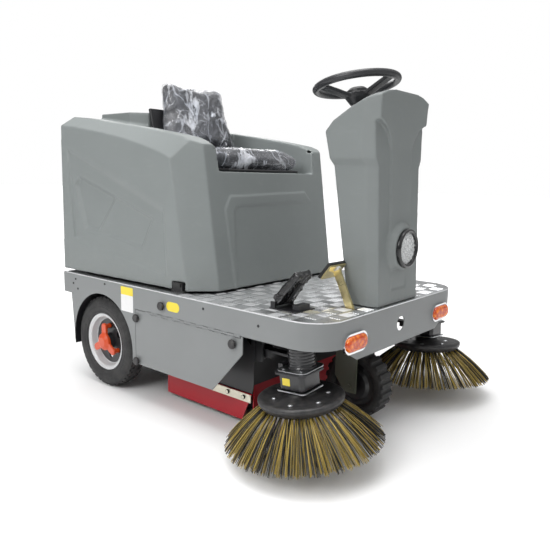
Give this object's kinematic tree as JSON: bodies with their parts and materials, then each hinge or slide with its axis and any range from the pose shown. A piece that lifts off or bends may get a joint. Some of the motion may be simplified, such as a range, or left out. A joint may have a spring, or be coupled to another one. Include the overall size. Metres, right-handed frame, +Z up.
{
  "type": "ride on sweeper",
  "caption": "Ride-on floor sweeper with a tilting body cover, seat, steering column, front drive wheel, cone side brushes, cylinder brush and a pull-out hopper.",
  "frame": {"origin": "on the floor below the centre of the whole machine", "axes": "+Z up, the machine drives towards -Y, its right-hand side faces -X"},
  "size_m": [1.2821, 1.4853, 1.2124],
  "materials": {
    "grey_shell": "satin grained moulding",
    "grey_paint": "satin paint",
    "black_frame": "satin black paint",
    "fork_paint": "grey green paint",
    "tread": "bright rolled sheet",
    "red_rubber": "smooth",
    "zinc": "zinc plated",
    "motor_black": "black enamel",
    "black_plastic": "satin",
    "black_rubber": "matt",
    "tyre": "matt",
    "rim_silver": "silver paint",
    "orange_hub": "orange paint",
    "bristle": "mixed black and yellow fibre",
    "chrome_trim": "polished",
    "amber_lens": "clear amber",
    "clear_lens": "moulded facets",
    "black_bezel": "gloss",
    "battery_case": "satin",
    "seat_vinyl": "black vinyl"
  },
  "bodies": {
    "chassis": {"chassis_frame": "black_frame", "deck_skirt": "grey_paint", "tread_plate": "tread", "brush_housing": "black_frame", "rubber_flaps": "red_rubber", "flap_clamps": "zinc", "main_brush_motor": "motor_black", "skirt_knobs": "black_plastic", "column_shell": "grey_shell", "column_mast": "black_frame", "dash_panel": "black_plastic", "headlight_bezel": "black_bezel", "headlight_lens": "clear_lens", "signal_bases": "chrome_trim", "signal_lenses": "amber_lens", "accelerator_base": "black_frame", "cover_latches": "black_rubber", "battery_pack": "battery_case", "dust_filter": "black_plastic", "suction_fan": "motor_black", "steering_chain": "zinc"},
    "steering": {"steering_wheel": "black_plastic", "wheel_cap": "black_plastic", "steering_upper_shaft": "zinc"},
    "steering_middle": {"steering_middle_shaft": "zinc"},
    "steering_lower": {"steering_lower_shaft": "zinc"},
    "fork": {"steering_fork": "fork_paint", "fork_sprocket": "zinc"},
    "front_wheel": {"front_tyre": "tyre", "front_hub_motor": "motor_black"},
    "main_brush": {"main_brush_core": "black_plastic", "main_brush_bristles": "bristle"},
    "accelerator": {"accelerator_pedal": "black_plastic"},
    "brake": {"brake_pedal": "zinc", "brake_pad": "black_rubber"},
    "cover": {"body_cover": "grey_shell"},
    "seat": {"seat_frame": "black_frame", "seat_cushion": "seat_vinyl", "seat_backrest": "seat_vinyl"},
    "hopper": {"hopper": "black_plastic", "hopper_handle": "black_frame"},
    "key": {"key_switch": "zinc"},
    "rear_wheel_right": {"rear_tyre_right": "tyre", "rear_rim_right": "rim_silver", "hub_spider_right": "orange_hub"},
    "brush_arm_right": {"brush_arm_right": "black_frame", "brush_motor_right": "motor_black"},
    "side_brush_right": {"brush_disc_right": "black_plastic", "brush_bristles_right": "bristle"},
    "door_right": {"side_door_right": "grey_paint", "door_knobs_right": "black_plastic"},
    "rear_wheel_left": {"rear_tyre_left": "tyre", "rear_rim_left": "rim_silver", "hub_spider_left": "orange_hub"},
    "brush_arm_left": {"brush_arm_left": "black_frame", "brush_motor_left": "motor_black"},
    "side_brush_left": {"brush_disc_left": "black_plastic", "brush_bristles_left": "bristle"},
    "door_left": {"side_door_left": "grey_paint", "door_knobs_left": "black_plastic"}
  },
  "joints": [
    {"name": "steering_turn", "type": "hinge", "parent": "chassis", "child": "steering", "pos_m": [0, -0.379, 1.14], "axis": [0, 0.1736, 0.9848], "range_deg": [-135, 135]},
    {"name": "middle_shaft_turn", "type": "hinge", "parent": "chassis", "child": "steering_middle", "pos_m": [0, -0.44742, 0.752], "axis": [0, 0.2811, 0.9597], "range_deg": [-135, 135]},
    {"name": "lower_shaft_turn", "type": "hinge", "parent": "chassis", "child": "steering_lower", "pos_m": [0, -0.53, 0.47], "axis": [0, 0, 1], "range_deg": [-135, 135]},
    {"name": "fork_turn", "type": "hinge", "parent": "chassis", "child": "fork", "pos_m": [0, -0.44, 0.3], "axis": [0, 0, 1], "range_deg": [-45, 45]},
    {"name": "front_wheel_roll", "type": "hinge", "parent": "fork", "child": "front_wheel", "pos_m": [0, -0.44, 0.119], "axis": [1, 0, 0], "continuous": true},
    {"name": "rear_wheel_right_roll", "type": "hinge", "parent": "chassis", "child": "rear_wheel_right", "pos_m": [-0.405, 0.454, 0.178], "axis": [1, 0, 0], "continuous": true},
    {"name": "brush_arm_right_lift", "type": "hinge", "parent": "chassis", "child": "brush_arm_right", "pos_m": [-0.33, -0.285, 0.262], "axis": [1, 0, 0], "range_deg": [-5, 4]},
    {"name": "side_brush_right_spin", "type": "hinge", "parent": "brush_arm_right", "child": "side_brush_right", "pos_m": [-0.408, -0.4945, 0.204], "axis": [-0.068, 0.08, 0.9945], "continuous": true},
    {"name": "door_right_swing", "type": "hinge", "parent": "chassis", "child": "door_right", "pos_m": [-0.449, -0.056, 0.3435], "axis": [0, 1, 0], "range_deg": [0, 85]},
    {"name": "rear_wheel_left_roll", "type": "hinge", "parent": "chassis", "child": "rear_wheel_left", "pos_m": [0.405, 0.454, 0.178], "axis": [1, 0, 0], "continuous": true},
    {"name": "brush_arm_left_lift", "type": "hinge", "parent": "chassis", "child": "brush_arm_left", "pos_m": [0.33, -0.285, 0.262], "axis": [1, 0, 0], "range_deg": [-5, 4]},
    {"name": "side_brush_left_spin", "type": "hinge", "parent": "brush_arm_left", "child": "side_brush_left", "pos_m": [0.408, -0.4945, 0.204], "axis": [0.068, 0.08, 0.9945], "continuous": true},
    {"name": "door_left_swing", "type": "hinge", "parent": "chassis", "child": "door_left", "pos_m": [0.449, -0.056, 0.3435], "axis": [0, -1, 0], "range_deg": [0, 85]},
    {"name": "main_brush_spin", "type": "hinge", "parent": "chassis", "child": "main_brush", "pos_m": [0, -0.04, 0.15], "axis": [1, 0, 0], "continuous": true},
    {"name": "accelerator_press", "type": "hinge", "parent": "chassis", "child": "accelerator", "pos_m": [-0.33, -0.352, 0.444], "axis": [1, 0, 0], "range_deg": [0, 24], "stiffness_Nm_per_rad": 6, "springref_deg": -28.65},
    {"name": "brake_press", "type": "hinge", "parent": "chassis", "child": "brake", "pos_m": [-0.192, -0.53, 0.398], "axis": [1, 0, 0], "range_deg": [0, 18], "stiffness_Nm_per_rad": 12, "springref_deg": -22.92},
    {"name": "cover_open", "type": "hinge", "parent": "chassis", "child": "cover", "pos_m": [0, 0.728, 0.441], "axis": [-1, 0, 0], "range_deg": [0, 55]},
    {"name": "seat_slide", "type": "slide", "parent": "cover", "child": "seat", "axis": [0, -1, 0], "range_m": [0, 0.04]},
    {"name": "hopper_pull", "type": "slide", "parent": "chassis", "child": "hopper", "axis": [0, 1, 0], "range_m": [0, 0.42]},
    {"name": "key_turn", "type": "hinge", "parent": "chassis", "child": "key", "pos_m": [0.096, -0.43213, 1.03939], "axis": [0, 0.5105, 0.8599], "range_deg": [0, 90]}
  ],
  "couplings": [
    {"joint": "middle_shaft_turn", "follows": "steering_turn", "ratio": 1},
    {"joint": "lower_shaft_turn", "follows": "steering_turn", "ratio": 1},
    {"joint": "fork_turn", "follows": "steering_turn", "ratio": 0.33333}
  ]
}
